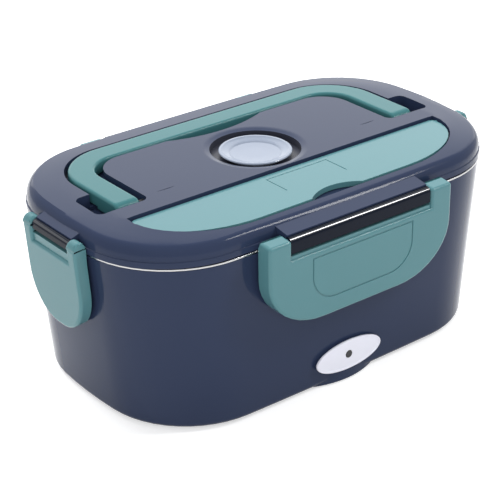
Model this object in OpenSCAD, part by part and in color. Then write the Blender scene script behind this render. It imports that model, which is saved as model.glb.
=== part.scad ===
// Electric lunch box: a heated tub with a steel container, a lift-off lid with four latches,
// a carry handle, a steam vent plug and a cutlery compartment under a hinged cover.
// Long axis along X, front towards -Y, standing on z = 0 with the origin under its middle.

/* [Body] */
// Length of the body at its rim
rim_l = 237; // [225:0.5:250]
// Width of the body at its rim
rim_w = 138; // [130:0.5:150]
// How far each end wall leans in towards the bottom
end_taper = 8; // [5:0.5:9]
// How far each long wall leans in towards the bottom
side_taper = 1; // [0.5:0.5:3]
// Radius of the plan's corners
corner_r = 50; // [46:0.5:54]
// Radius of the bowed short sides
end_bow_r = 260; // [220:10:400]
// Radius of the bowed long sides
side_bow_r = 3000; // [2000:100:6000]
// Height of the body's top edge above the table
rim_z = 89.2; // [86:0.1:96]
// Thickness of the body's wall
shell_t = 2.2; // [1.8:0.1:2.6]
// Gap under the body that the feet leave
foot_gap = 1; // [0.8:0.1:2]
// Inward reach of the bottom edge rounding
edge_in = 5; // [3:0.5:6]
// Height of the bottom edge rounding
edge_up = 3.5; // [2:0.5:5]

/* [Bottom and feet] */
// Thickness of the bottom cover
bottom_t = 2.8; // [2.4:0.1:3.4]
// Distance from the wall's outside to the bottom opening
bottom_inset = 7.5; // [7:0.5:9]
// Radius of a foot
foot_r = 7; // [5:0.5:9]
// Distance of a foot from the middle, along the length
foot_x = 72; // [65:1:76]
// Distance of a foot from the middle, along the width
foot_y = 46; // [43:1:48]
// Distance of a bottom screw from the middle, along the length
post_x = 88; // [86:1:90]
// Distance of a bottom screw from the middle, along the width
post_y = 30; // [27:1:32]

/* [Well and container] */
// Distance from the rim's outside to the well's mouth
well_inset = 9; // [8.5:0.5:11]
// Thickness of the well's wall
liner_t = 1.8; // [1.5:0.1:2.2]
// Height of the well's floor
well_z = 31; // [28:0.5:36]
// Thickness of the container's steel
steel_t = 0.7; // [0.6:0.1:0.9]
// Thickness of the container's hemmed rim
flange_t = 0.9; // [0.8:0.1:1.2]
// Gap between the container and the well's mouth
container_gap = 1; // [0.8:0.1:1.5]
// Distance from the middle to the tray's straight wall
tray_x = 20; // [0:1:60]
// Thickness of the tray's wall
tray_t = 1.6; // [1.2:0.1:2]

/* [Heater] */
// Length of the heating plate's raised face
plate_l = 130; // [120:1:136]
// Width of the heating plate's raised face
plate_w = 70; // [64:1:76]
// Height that the heating plate stands above the well's floor
plate_up = 0.5; // [0.3:0.1:0.8]
// Length of the heating element
ptc_l = 64; // [50:1:70]
// Width of the heating element
ptc_w = 28; // [20:1:34]
// Height of the heating element
ptc_h = 5; // [4:0.5:6]

/* [Power inlet and badge] */
// Height of the power inlet's middle
inlet_z = 19; // [17:0.5:20]
// Width of the power inlet's face plate
inlet_w = 32; // [30:0.5:36]
// Height of the power inlet's face plate
inlet_h = 20; // [19:0.5:22]
// Length of the badge
badge_l = 42; // [36:0.5:46]
// Height of the badge
badge_h = 16.2; // [14:0.1:17]
// Height of the badge's middle
badge_z = 15.2; // [15:0.1:17]
// How far the badge's seat stands out from the wall
boss_out = 1.4; // [1.2:0.1:2]
// Radius of the round boss below the badge
boss_r = 47; // [40:1:60]

/* [Lid] */
// How far the lid's ends reach past the body's rim
lid_out_end = 1; // [0:0.5:3]
// How far the lid's long sides reach past the body's rim
lid_out_side = -0.5; // [-1:0.5:2]
// Height of the lid from its lower edge to its flat top
lid_h = 12.5; // [12.2:0.1:15]
// Thickness of the lid's wall
lid_t = 2.2; // [1.8:0.1:2.4]
// Height of the lid's lower band
band_h = 2.8; // [2:0.1:3.2]
// Step of the lid's lower band
band_step = 0.5; // [0.2:0.1:0.6]
// Drop of the lid's edge below its flat top
edge_drop = 0.8; // [0.4:0.1:1.5]
// Further drop of the lid's edge at the front
front_drop = 1.8; // [0:0.1:1.8]
// Thickness of the walls round the lid's pockets
pocket_t = 1.5; // [1.2:0.1:1.6]
// Thickness of the lid's seal
seal_t = 1.4; // [1.2:0.1:1.6]

/* [Handle] */
// Distance from the lid's ends to the handle's arms
handle_in_x = 25; // [22:0.5:28]
// Distance from the lid's back to the handle
handle_in_y = 16.2; // [15.5:0.1:18]
// Width of the handle's bar
bar_w = 13.5; // [12:0.1:14.5]
// Height of the handle's top above the lid's flat top
handle_up = 0.8; // [0.6:0.1:2]
// Thickness of the handle
handle_t = 7.3; // [6.5:0.1:7.4]
// Distance of the handle's pivot in front of the middle
pivot_y = 8; // [7:0.1:9]
// Radius of the eyes at the ends of the handle's arms
eye_r = 4.3; // [4.2:0.1:4.8]
// Radius of the handle's pins
handle_pin_r = 1.5; // [1.2:0.1:1.8]

/* [Cutlery cover] */
// Distance from the lid's ends to the cover
cover_in_x = 23; // [21.5:0.5:28]
// Distance from the lid's front to the cover
cover_in_y = 8.5; // [8:0.5:11]
// Distance from the middle to the back of the cover
cover_back = 25; // [24.5:0.5:27]
// Thickness of the cover
cover_t = 2.8; // [2.4:0.1:3]
// Depth of the cover's top below the lid's flat top
cover_down = 1.5; // [1.5:0.1:2.2]
// Half width of the finger notch in the cover's front edge
notch_x = 16; // [12:0.5:20]
// Depth of the finger notch in the cover's front edge
notch_d = 6; // [4:0.5:7]

/* [Vent] */
// Distance of the vent behind the middle
vent_y = 3.4; // [1:0.1:4]
// Radius of the vent's recess at the lid's top
vent_r = 27.2; // [25:0.1:28]
// Radius of the vent plug
plug_r = 18.8; // [18:0.1:20.5]
// Radius of the vent plug's stem
stem_r = 6.2; // [5:0.1:7]

/* [Latches] */
// How far the long latches' pivots lie outside the lid
long_pivot_out = 7.1; // [6.8:0.1:10]
// How far the short latches' pivots lie outside the lid
short_pivot_out = 3.1; // [3:0.1:6]
// Height of the long latches' pivots above the lid's lower edge
long_pivot_up = 2.8; // [2.4:0.1:3.2]
// Height of the short latches' pivots above the lid's lower edge
short_pivot_up = 3.5; // [3.2:0.1:4]
// Half width of the long latches
long_half = 57.5; // [50:0.5:62]
// Half width of the short latches
short_half = 22.5; // [21:0.5:26]
// Half length of the long latches' bars
long_bar = 44; // [36:0.5:45]
// Half length of the short latches' bars
short_bar = 15.2; // [13:0.1:16]
// Reach of the long latches below their pivots
long_drop = 44.2; // [38:0.1:46]
// Reach of the short latches below their pivots
short_drop = 48; // [40:0.1:50]
// Half depth of the long latches
long_half_d = 4; // [3.6:0.1:4.2]
// Half depth of the short latches
short_half_d = 3.4; // [3.2:0.1:3.5]
// Thickness of the latches' face
latch_t = 2.4; // [2:0.1:2.8]

/* [Hidden] */

navy = [0.20, 0.22, 0.29];
teal = [0.40, 0.60, 0.61];
steel = [0.78, 0.79, 0.80];
aluminium = [0.70, 0.71, 0.73];
pale = [0.87, 0.88, 0.92];
black = [0.08, 0.08, 0.09];

$fn = 48;
corner_steps = 12;
eps = 0.01;
seat_gap = 0.3;
pin_clear = 0.05;
fixed_clear = 0.02;

// Sizes of the body and the lid
base_l = rim_l - 2 * end_taper;
base_w = rim_w - 2 * side_taper;
lid_l = rim_l + 2 * lid_out_end;
lid_w = rim_w + 2 * lid_out_side;
handle_x = lid_l / 2 - handle_in_x;
handle_y = lid_w / 2 - handle_in_y;
cover_x = lid_l / 2 - cover_in_x;
cover_front = lid_w / 2 - cover_in_y;
long_pivot_y = lid_w / 2 + long_pivot_out;
short_pivot_x = lid_l / 2 + short_pivot_out;

// Heights, from the table up
body_z = foot_gap;
cover_z = body_z + 0.2;
ledge_z = cover_z + bottom_t;
ledge_t = 2;
base_z = body_z + edge_up;
liner_flange_t = 2;
plate_z = well_z + plate_up;
container_z = plate_z;
flange_z = rim_z + seat_gap;
flange_top = flange_z + flange_t;
lid_z = flange_top + seat_gap;
top_z = lid_z + lid_h;
seal_top = flange_top + seal_t;

// ---- Plan of the box -----------------------------------------------------------------

// Points on an arc from angle a0 to a1
function arc(c, r, a0, a1, n) =
    [for (i = [0:n]) let (a = a0 + (a1 - a0) * i / n) [c[0] + r * cos(a), c[1] + r * sin(a)]];

// Where the corner arc's centre lies, so that it runs tangent into the bowed side and end
function corner_centre(a, b) =
    let (
        side = [0, b - side_bow_r], end = [a - end_bow_r, 0],
        d1 = side_bow_r - corner_r, d2 = end_bow_r - corner_r,
        v = end - side, d = norm(v), u = v / d,
        along = (d1 * d1 - d2 * d2 + d * d) / (2 * d),
        off = sqrt(d1 * d1 - along * along)
    ) side + along * u + off * [u[1], -u[0]];

// One quarter of the plan, from the end's middle to the side's middle
function quarter(l, w, inset) =
    let (
        a = l / 2, b = w / 2, c = corner_centre(a, b),
        side = [0, b - side_bow_r], end = [a - end_bow_r, 0],
        t1 = atan2(c[1] - end[1], c[0] - end[0]), t2 = atan2(c[1] - side[1], c[0] - side[0])
    ) concat(
        [for (i = [0:1]) arc(end, end_bow_r - inset, 0, t1, 2)[i]],
        arc(c, corner_r - inset, t1, t2, corner_steps),
        [for (i = [1:3]) arc(side, side_bow_r - inset, t2, 90, 3)[i]]);

// The whole plan, bowed rectangle l by w with round corners, moved inwards by inset
function plan(l, w, inset = 0) =
    let (q = quarter(l, w, inset), n = len(q) - 1) concat(
        [for (i = [0:n - 1]) q[i]], [for (i = [n:-1:1]) [-q[i][0], q[i][1]]],
        [for (i = [0:n - 1]) -q[i]], [for (i = [n:-1:1]) [q[i][0], -q[i][1]]]);

function level(points, z) = [for (p = points) [p[0], p[1], z]];

// Solid through a stack of rings that have the same number of points, lowest ring first
module loft(rings) {
    n = len(rings[0]);
    m = len(rings);
    polyhedron(
        points = [for (r = rings) each r],
        faces = concat(
            [[for (i = [0:n - 1]) i]],
            [for (k = [0:m - 2]) for (i = [0:n - 1]) [k * n + i, (k + 1) * n + i, (k + 1) * n + (i + 1) % n]],
            [for (k = [0:m - 2]) for (i = [0:n - 1]) [k * n + i, (k + 1) * n + (i + 1) % n, k * n + (i + 1) % n]],
            [[for (i = [n - 1:-1:0]) (m - 1) * n + i]]),
        convexity = 6);
}

// Prism over a plan
module slab(points, z0, z1) {
    translate([0, 0, z0]) linear_extrude(z1 - z0) polygon(points);
}

// Flat rectangle with round corners, centred, with true arcs
module soft_rect(l, w, r) {
    square([l - 2 * r, w], center = true);
    square([l, w - 2 * r], center = true);
    for (sx = [-1, 1]) for (sy = [-1, 1]) translate([sx * (l / 2 - r), sy * (w / 2 - r)]) circle(r);
}

module pad(l, w, r, h) {
    linear_extrude(h) soft_rect(l, w, r);
}

module rod_x(x0, x1, r) {
    translate([x0, 0, 0]) rotate([0, 90, 0]) cylinder(h = x1 - x0, r = r);
}

// Its children and their mirror image across the middle
module twins() {
    children();
    mirror([1, 0, 0]) children();
}

module four(x, y) {
    for (sx = [-1, 1]) for (sy = [-1, 1]) translate([sx * x, sy * y, 0]) children();
}

function mix(a, b, t) = a + (b - a) * t;

// Plan of the body's outside at height z
function body_plan(z, inset = 0) =
    let (t = (z - base_z) / (rim_z - base_z)) plan(mix(base_l, rim_l, t), mix(base_w, rim_w, t), inset);
// Half width of the body's outside at height z
function wall_y(z) = mix(base_w, rim_w, (z - base_z) / (rim_z - base_z)) / 2;
function wall_x(z) = mix(base_l, rim_l, (z - base_z) / (rim_z - base_z)) / 2;

// ---- Latch places --------------------------------------------------------------------

bead_r = 1.5;
catch_bite = 0.8;
catch_rise = 3;
hook_drop = 31;
long_pivot_z = lid_z + long_pivot_up;
short_pivot_z = lid_z + short_pivot_up;
long_catch_z = long_pivot_z - hook_drop + catch_rise;
short_catch_z = short_pivot_z - hook_drop + catch_rise;
long_catch_y = wall_y(long_catch_z) + bead_r;
short_catch_x = wall_x(short_catch_z) + bead_r;
catch_half_long = 14;
catch_half_short = 7;

// Round-nosed bead along X, from its root at y0 to its nose's centre at y1
module bead(half, y0, y1, z) {
    translate([-half, 0, z]) rotate([90, 0, 90]) linear_extrude(2 * half) {
        translate([y1, 0]) circle(bead_r);
        translate([min(y0, y1), -bead_r]) square([abs(y1 - y0), 2 * bead_r]);
    }
}

// ---- Body ----------------------------------------------------------------------------

rabbet_inset = shell_t / 2;
boss_y = wall_y(badge_z) + boss_out;
boss_top = badge_z + badge_h / 2 - 1.1;
seat_back = base_w / 2 - bottom_inset;
seat_inset = 1.2;
inlet_hole_w = inlet_w - 8;
inlet_hole_h = inlet_h - 6;
led_r = 2;

function oval(l, h, n = 48) = [for (i = [0:n - 1]) [l / 2 * cos(i * 360 / n), h / 2 * sin(i * 360 / n)]];

// Upright prism over an outline in X and Z, from y0 to y1
module wall_prism(y0, y1) {
    translate([0, y1, 0]) rotate([90, 0, 0]) linear_extrude(y1 - y0) children();
}

// Flat seat of the badge, and the round boss that carries it down to the bottom edge
module badge_seat() {
    translate([0, 0, badge_z]) wall_prism(-boss_y, -seat_back)
        polygon(oval(badge_l - seat_inset, badge_h - seat_inset));
    intersection() {
        translate([0, boss_r - boss_y, body_z]) cylinder(h = boss_top - body_z, r = boss_r, $fn = 120);
        translate([-boss_r, -boss_y - 1, 0]) cube([2 * boss_r, boss_y + 1 - seat_back, rim_z]);
    }
}

module outer_shell() color(navy) {
    difference() {
        union() {
            loft(concat(
                [for (i = [0:4]) let (a = i * 22.5)
                    level(plan(base_l, base_w, edge_in * (1 - sin(a))), body_z + edge_up * (1 - cos(a)))],
                [level(body_plan(rim_z), rim_z)]));
            badge_seat();
            for (a = [0, 180]) rotate(a) bead(catch_half_long, 2 * bead_r - long_catch_y, -long_catch_y, long_catch_z);
            for (a = [90, -90]) rotate(a) bead(catch_half_short, 2 * bead_r - short_catch_x, -short_catch_x, short_catch_z);
        }
        loft([level(body_plan(ledge_z + ledge_t, shell_t), ledge_z + ledge_t),
              level(body_plan(rim_z + 1, shell_t), rim_z + 1)]);
        slab(body_plan(rim_z, rabbet_inset), rim_z - liner_flange_t, rim_z + 1);
        slab(plan(base_l, base_w, bottom_inset), 0, ledge_z);
        slab(plan(base_l, base_w, bottom_inset + 3), 0, ledge_z + ledge_t + eps);
        translate([0, 0, inlet_z]) wall_prism(0, rim_w) square([inlet_hole_w, inlet_hole_h], center = true);
        translate([0, 0, badge_z]) wall_prism(-rim_w, 0) circle(led_r + 0.1);
    }
}

screw_head_r = 3.2;
screw_r = 1.5;
screw_sink = 2;
screw_l = 12;
foot_sink = 0.8;

module bottom_cover() color(navy) difference() {
    slab(plan(base_l, base_w, bottom_inset + seat_gap), cover_z, ledge_z);
    four(foot_x, foot_y) cylinder(h = cover_z + foot_sink, r = foot_r + 0.2);
    four(post_x, post_y) cylinder(h = cover_z + screw_sink, r = screw_head_r + 0.3);
    four(post_x, post_y) cylinder(h = ledge_z + 1, r = screw_r + 0.2);
}

module bottom_screws() color(steel) four(post_x, post_y) translate([0, 0, cover_z + screw_sink]) {
    translate([0, 0, -1.6]) cylinder(h = 1.6, r = screw_head_r);
    cylinder(h = screw_l, r = screw_r);
}

module feet() color(black) four(foot_x, foot_y) cylinder(h = cover_z + foot_sink, r = foot_r);

// Plan of the rim, used by everything that hangs from it
function rim_plan(inset) = plan(rim_l, rim_w, inset);
well_taper = 4;
plate_r = 18;
plate_flange = 6;
plate_flange_t = 2;
small_screw_r = 1.1;
small_screw_l = 3.2;
small_head_h = 1.5;
plate_screw_x = plate_l / 2 - 20;
plate_screw_y = plate_w / 2 + plate_flange / 2 + 0.3;
post_r = 4;
liner_base_z = well_z - liner_t;

module inner_liner() color(navy) difference() {
    union() {
        loft([level(rim_plan(well_inset + well_taper - liner_t), liner_base_z),
              level(rim_plan(well_inset - liner_t), rim_z - liner_flange_t + eps)]);
        slab(rim_plan(rabbet_inset + 0.2), rim_z - liner_flange_t, rim_z);
        four(post_x, post_y) translate([0, 0, ledge_z]) cylinder(h = liner_base_z - ledge_z + eps, r = post_r);
    }
    loft([level(rim_plan(well_inset + well_taper), well_z), level(rim_plan(well_inset), rim_z + 1)]);
    translate([0, 0, liner_base_z - 1]) pad(plate_l + 1, plate_w + 1, plate_r + 0.5, liner_t + 2);
    four(post_x, post_y) translate([0, 0, ledge_z - eps])
        cylinder(h = cover_z + screw_sink + screw_l - ledge_z + 0.5, r = screw_r + fixed_clear);
    four(plate_screw_x, plate_screw_y) translate([0, 0, liner_base_z - eps])
        cylinder(h = small_screw_l - plate_flange_t + 0.2, r = small_screw_r + fixed_clear);
}

// ---- Heater --------------------------------------------------------------------------

plate_base_z = liner_base_z - plate_flange_t;
clamp_t = 1.2;
clamp_w = 16;
clamp_foot = 9;
clamp_x = ptc_l / 2 + 1 + clamp_t + clamp_foot / 2;
thermostat_x = plate_l / 2 - 6;
thermostat_r = 6.5;
fuse_r = 2;
fuse_l = 16;

module heater_plate() color(aluminium) difference() {
    union() {
        translate([0, 0, liner_base_z - eps]) pad(plate_l, plate_w, plate_r, plate_z - liner_base_z + eps);
        translate([0, 0, plate_base_z])
            pad(plate_l + 2 * plate_flange, plate_w + 2 * plate_flange, plate_r + plate_flange, plate_flange_t);
    }
    four(plate_screw_x, plate_screw_y) translate([0, 0, plate_base_z - eps])
        cylinder(h = plate_flange_t + 1, r = small_screw_r + 0.2);
    for (s = [-1, 1]) translate([s * clamp_x, 0, plate_base_z - eps])
        cylinder(h = small_screw_l - clamp_t + 0.2, r = small_screw_r + fixed_clear);
}

module ptc_heater() color("white") translate([-ptc_l / 2, -ptc_w / 2, plate_base_z - ptc_h]) cube([ptc_l, ptc_w, ptc_h]);

// Bent strip that presses the heating element against the plate
module heater_clamp() color(steel) difference() {
    wall_prism(-clamp_w / 2, clamp_w / 2) translate([0, plate_base_z]) union() {
        for (s = [-1, 1]) {
            translate([s * (clamp_x - clamp_t / 2) - (clamp_foot + clamp_t) / 2, -clamp_t])
                square([clamp_foot + clamp_t, clamp_t]);
            translate([s * (ptc_l / 2 + 1 + clamp_t / 2) - clamp_t / 2, -ptc_h - clamp_t]) square([clamp_t, ptc_h + clamp_t]);
        }
        translate([-ptc_l / 2 - 1, -ptc_h - clamp_t]) square([ptc_l + 2, clamp_t]);
    }
    for (s = [-1, 1]) translate([s * clamp_x, 0, 0]) cylinder(h = rim_z, r = small_screw_r + 0.2);
}

module small_screw(z) {
    translate([0, 0, z - small_head_h]) cylinder(h = small_head_h, r = 2 * small_screw_r);
    translate([0, 0, z - eps]) cylinder(h = small_screw_l, r = small_screw_r);
}

module plate_screws() color(steel) {
    four(plate_screw_x, plate_screw_y) small_screw(plate_base_z);
    for (s = [-1, 1]) translate([s * clamp_x, 0, 0]) small_screw(plate_base_z - clamp_t);
}

module thermostat() color(black) translate([thermostat_x, 0, 0]) {
    translate([0, 0, plate_base_z - 6]) cylinder(h = 6, r = thermostat_r);
    for (s = [-1, 1]) translate([-0.4, s * 3 - 1.5, plate_base_z - 11]) cube([0.8, 3, 5 + eps]);
}

module thermal_fuse() color("beige") translate([-thermostat_x, -fuse_l / 2, plate_base_z - fuse_r])
    rotate([-90, 0, 0]) cylinder(h = fuse_l, r = fuse_r);

// ---- Power inlet, badge and indicator ------------------------------------------------

inlet_face_t = 2;
inlet_depth = 18;
socket_depth = 12;
socket_w = 16.5;
socket_h = 8.4;
pin_gap = 8.6;
inlet_y = rim_w / 2 - 0.3;

module power_inlet() color(black) difference() {
    translate([0, 0, inlet_z]) union() {
        wall_prism(inlet_y, inlet_y + inlet_face_t) soft_rect(inlet_w, inlet_h, 4);
        wall_prism(inlet_y - inlet_depth, inlet_y + eps)
            square([inlet_hole_w - 0.4, inlet_hole_h - 0.4], center = true);
    }
    translate([0, 0, inlet_z]) wall_prism(inlet_y + inlet_face_t - socket_depth, inlet_y + inlet_face_t + 1) {
        square([socket_w - socket_h, socket_h], center = true);
        for (s = [-1, 1]) translate([s * (socket_w - socket_h) / 2, 0]) circle(socket_h / 2);
    }
    for (s = [-1, 1]) translate([s * pin_gap / 2, 0, inlet_z]) wall_prism(inlet_y - inlet_depth - 1, inlet_y)
        circle(1.2 + fixed_clear);
}

module inlet_pins() color(steel) for (s = [-1, 1]) translate([s * pin_gap / 2, 0, inlet_z])
    wall_prism(inlet_y - inlet_depth - 3, inlet_y - 1.5) circle(1.2);

badge_t = 0.7;
badge_rim = 0.9;

module badge_plate() color(pale) translate([0, 0, badge_z]) difference() {
    union() {
        wall_prism(-boss_y - badge_t, -boss_y) polygon(oval(badge_l, badge_h));
        wall_prism(-boss_y - badge_t - 0.3, -boss_y - badge_t + eps) difference() {
            polygon(oval(badge_l, badge_h));
            polygon(oval(badge_l - 2 * badge_rim, badge_h - 2 * badge_rim));
        }
    }
    wall_prism(-rim_w, 0) circle(led_r + 0.1);
}

board_t = 1.6;
board_y = wall_y(badge_z) - shell_t - board_t;
module indicator_lens() color(black) translate([0, 0, badge_z])
    wall_prism(-boss_y - badge_t - 0.2, -board_y) circle(led_r);

board_l = 18;
board_h = 10;
module indicator_board() color("darkgreen") translate([-board_l / 2, -board_y, badge_z - board_h / 2])
    cube([board_l, board_t, board_h]);

// Tube along a path of points, with flat sides; each ring lies square to the bisector
wire_r = 0.9;
wire_sides = 8;
function unit(v) = v / norm(v);
function ring_at(path, i, r) =
    let (
        n = len(path) - 1,
        t = unit((i > 0 ? unit(path[i] - path[i - 1]) : [0, 0, 0]) + (i < n ? unit(path[i + 1] - path[i]) : [0, 0, 0])),
        u = unit(cross(t, [0.12, 0.05, 0.99])), v = cross(t, u)
    ) [for (k = [0:wire_sides - 1]) let (a = -k * 360 / wire_sides) path[i] + r * (cos(a) * u + sin(a) * v)];
module tube(path, r) {
    loft([for (i = [0:len(path) - 1]) ring_at(path, i, r)]);
}

pin_end_y = inlet_y - inlet_depth - 3;
tab_z = plate_base_z - 11;
wire_gap = 0.1;
wire_lead = 1.5;
live_path = [
    [pin_gap / 2, pin_end_y - wire_gap, inlet_z], [pin_gap / 2, pin_end_y - wire_lead, inlet_z],
    [pin_gap / 2, pin_end_y - 6, inlet_z - 3], [20, 34, 11], [44, 18, 10], [thermostat_x, 5, 11],
    [thermostat_x, 3, tab_z - wire_lead], [thermostat_x, 3, tab_z - wire_gap]
];
neutral_path = [
    [-pin_gap / 2, pin_end_y - wire_gap, inlet_z], [-pin_gap / 2, pin_end_y - wire_lead, inlet_z],
    [-pin_gap / 2, pin_end_y - 6, inlet_z - 3], [-20, 36, 11],
    [-46, 28, 11], [-thermostat_x, 20, 16], [-thermostat_x, fuse_l / 2 + 4, plate_base_z - fuse_r],
    [-thermostat_x, fuse_l / 2, plate_base_z - fuse_r]
];
heater_path = [
    [thermostat_x, -3, tab_z - wire_gap], [thermostat_x, -3, tab_z - wire_lead], [thermostat_x - 2, -6, 12],
    [46, -16, 12], [30, -22, 16],
    [24, -ptc_w / 2 - 4, plate_base_z - ptc_h / 2], [24, -ptc_w / 2, plate_base_z - ptc_h / 2]
];
fuse_path = [
    [-thermostat_x, -fuse_l / 2, plate_base_z - fuse_r], [-thermostat_x, -fuse_l / 2 - 4, plate_base_z - fuse_r],
    [-44, -22, 17], [-28, -ptc_w / 2 - 6, 19], [-24, -ptc_w / 2 - 4, plate_base_z - ptc_h / 2],
    [-24, -ptc_w / 2, plate_base_z - ptc_h / 2]
];
lamp_path = [
    [5, -board_y + board_t, badge_z], [5, -board_y + 6, badge_z], [20, -46, 11], [46, -28, 8], [60, -10, 9],
    [thermostat_x + 4, 0, 12], [thermostat_x + 4, 0, plate_base_z - 6 - wire_gap]
];

module wiring() color("firebrick") {
    for (p = [live_path, neutral_path, heater_path, fuse_path, lamp_path]) tube(p, wire_r);
}

// ---- Container and tray --------------------------------------------------------------

mouth = well_inset + container_gap;
container_taper = 4.4;

// Inset and height of the container's outside, from its floor up to its mouth
container_profile = [
    [mouth + 12, 0], [mouth + 8.5, 0.8], [mouth + 6.2, 3], [mouth + container_taper, 8]
];

module steel_container() color(steel) difference() {
    union() {
        loft(concat(
            [for (p = container_profile) level(rim_plan(p[0]), container_z + p[1])],
            [level(rim_plan(mouth), flange_z + eps)]));
        slab(rim_plan(-0.25), flange_z, flange_top);
    }
    loft(concat(
        [for (p = container_profile) level(rim_plan(p[0] + steel_t), container_z + p[1] + steel_t)],
        [level(rim_plan(mouth + steel_t), flange_top + 1)]));
}

tray_gap = 1.5;
tray_top = flange_z - 4;
tray_floor = container_z + steel_t;

// Space that the tray may fill, moved inwards by inset
module tray_space(inset, z1) {
    intersection() {
        loft(concat(
            [for (p = container_profile)
                level(rim_plan(p[0] + steel_t + tray_gap + inset), tray_floor + p[1] + inset)],
            [level(rim_plan(mouth + steel_t + tray_gap + inset), z1)]));
        translate([-rim_l, -rim_w, 0]) cube([rim_l - tray_x - inset, 2 * rim_w, 2 * rim_z]);
    }
}

module inner_tray() color("lightsteelblue") difference() {
    tray_space(0, tray_top);
    tray_space(tray_t, tray_top + 1);
}

// ---- Lid -----------------------------------------------------------------------------

side_z = lid_z + 4.4;
edge_z = top_z - edge_drop;
shoulder_in = 3.9;
shoulder_bend = 70;
shoulder_steps = 6;
flat_in = 21;

// Inset, height and share of the front drop of the lid's outside, from its lower edge up
lid_profile = concat(
    [[0, lid_z, 0], [0, lid_z + band_h, 0], [band_step, lid_z + band_h + 0.3, 0]],
    [for (i = [0:shoulder_steps]) let (
            a = shoulder_bend * i / shoulder_steps,
            t = sin(a) / sin(shoulder_bend)
        ) [band_step + shoulder_in * (1 - cos(a)) / (1 - cos(shoulder_bend)), mix(side_z, edge_z, t), t]],
    [for (t = [0.35, 0.6, 0.8, 1]) [mix(shoulder_in, flat_in, t), mix(edge_z, top_z, sin(90 * t)), 1 - t * t]]);
hollow_from = 3;

// How far the lid's top edge leans towards the front, 0 behind the middle and 1 at the front edge
function front_lean(y) = max(0, -y / (lid_w / 2));
function lid_ring(p, inset, down) =
    [for (q = plan(lid_l, lid_w, p[0] + inset)) [q[0], q[1], p[1] - down - front_drop * p[2] * front_lean(q[1])]];

module lid_solid() {
    loft([for (p = lid_profile) lid_ring(p, 0, 0)]);
}
module lid_hollow() {
    loft(concat([level(plan(lid_l, lid_w, band_step + lid_t), lid_z - 1)],
        [for (i = [hollow_from:len(lid_profile) - 1]) lid_ring(lid_profile[i], lid_t, lid_t)]));
}

handle_top = top_z + handle_up;
handle_z = handle_top - handle_t;
pivot_z = handle_top - eye_r;
channel_z = handle_z - seat_gap;
channel_gap = 1.8;
island_side_gap = 4.2;
island_back_gap = 0.7;
bend = 30;

// Plan with round back corners of radius r, open to the front: half length x, back at y
module arch(x, y, r, front) {
    translate([-x, -front]) square([2 * x, y - r + front]);
    translate([r - x, y - r - eps]) square([2 * (x - r), r + eps]);
    for (s = [-1, 1]) translate([s * (x - r), y - r]) circle(r);
}

// The pins reach from bosses inside the lid into blind bores in the arms
pin_boss_l = 8;
pin_boss_r = 3;
pin_cap = 3;

// Wells in the lid that hold the ends of the handle's arms
well_front = pivot_y + eye_r + 0.8;
well_back = 9;
well_r = 4;
well_x0 = handle_x - bar_w - island_side_gap;
well_x1 = handle_x + 11;
well_floor = pivot_z - eye_r - 0.4;

module handle_well(grow) {
    twins() translate([(well_x0 + well_x1) / 2, (well_back - well_front) / 2, well_floor - grow])
        pad(well_x1 - well_x0 + 2 * grow, well_back + well_front + 2 * grow, well_r + grow, lid_h + grow);
}

module handle_channel(grow) {
    translate([0, 0, channel_z - grow]) linear_extrude(lid_h + grow) difference() {
        arch(handle_x + channel_gap + grow, handle_y + channel_gap + grow, bend + channel_gap + grow, pivot_y);
        arch(handle_x - bar_w - island_side_gap - grow, handle_y - bar_w - island_back_gap - grow,
            bend - bar_w - grow, pivot_y + 1);
    }
}

scoop_r = 77;
scoop_d = 6.4;
// Finger scoop in the island's back edge, in front of the handle's grip
module grip_scoop(grow) {
    island_y = handle_y - bar_w - island_back_gap;
    translate([0, 0, channel_z - grow]) linear_extrude(lid_h + grow) intersection() {
        translate([0, island_y - scoop_d + scoop_r]) circle(scoop_r + grow, $fn = 120);
        translate([-scoop_r, island_y - scoop_d - grow]) square([2 * scoop_r, scoop_d + grow + island_back_gap]);
    }
}

cover_top = top_z - cover_down;
cover_z0 = cover_top - cover_t;
cover_pin_y = cover_back + 2.2;
cover_pin_z = cover_top - cover_t / 2;
cover_pin_r = 1.2;
cover_swell = 50;
cover_gap = 1;
hinge_front = 4;
trench_back = cover_back - 0.8;
cutlery_ledge = 6;
cutlery_floor = lid_z + 1.7;

// Plan of the cover: straight back, long rounded front corners
function cover_plan(grow) =
    let (x = cover_x + grow, f = cover_front + grow, b = cover_back - grow, h = f - b, r = 3) concat(
        [for (i = [0:12]) let (a = 180 + i * 7.5) [-x + cover_swell + cover_swell * cos(a), -f + h + (h - r) * sin(a) - r]],
        [for (i = [0:12]) let (a = 270 + i * 7.5) [x - cover_swell + cover_swell * cos(a), -f + h + (h - r) * sin(a) - r]],
        arc([x - r, -b - r], r, 0, 90, 4), arc([r - x, -b - r], r, 90, 180, 4));

module cutlery_pocket(grow) {
    slab(cover_plan(cover_gap + grow), cover_z0 - seat_gap - grow, top_z + 1);
    slab(cover_plan(grow - cutlery_ledge), cutlery_floor - grow, top_z);
    translate([-cover_x - cover_gap - grow, -cover_pin_y - hinge_front - grow, cover_z0 - 2 - grow])
        cube([2 * (cover_x + cover_gap + grow), cover_pin_y + hinge_front - trench_back + 2 * grow, lid_h]);
}

vent_floor = top_z - 4.6;
vent_bevel = 3.8;
vent_bevel_d = 0.9;
vent_hole_r = stem_r + 0.6;
module vent_recess(grow) {
    translate([0, vent_y, 0]) rotate_extrude($fn = 96) polygon([
        [0, vent_floor - grow], [vent_r - vent_bevel + grow, vent_floor - grow],
        [vent_r - vent_bevel + grow, top_z - vent_bevel_d], [vent_r + grow, top_z + eps],
        [vent_r + grow, top_z + 2], [0, top_z + 2]
    ]);
}

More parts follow.
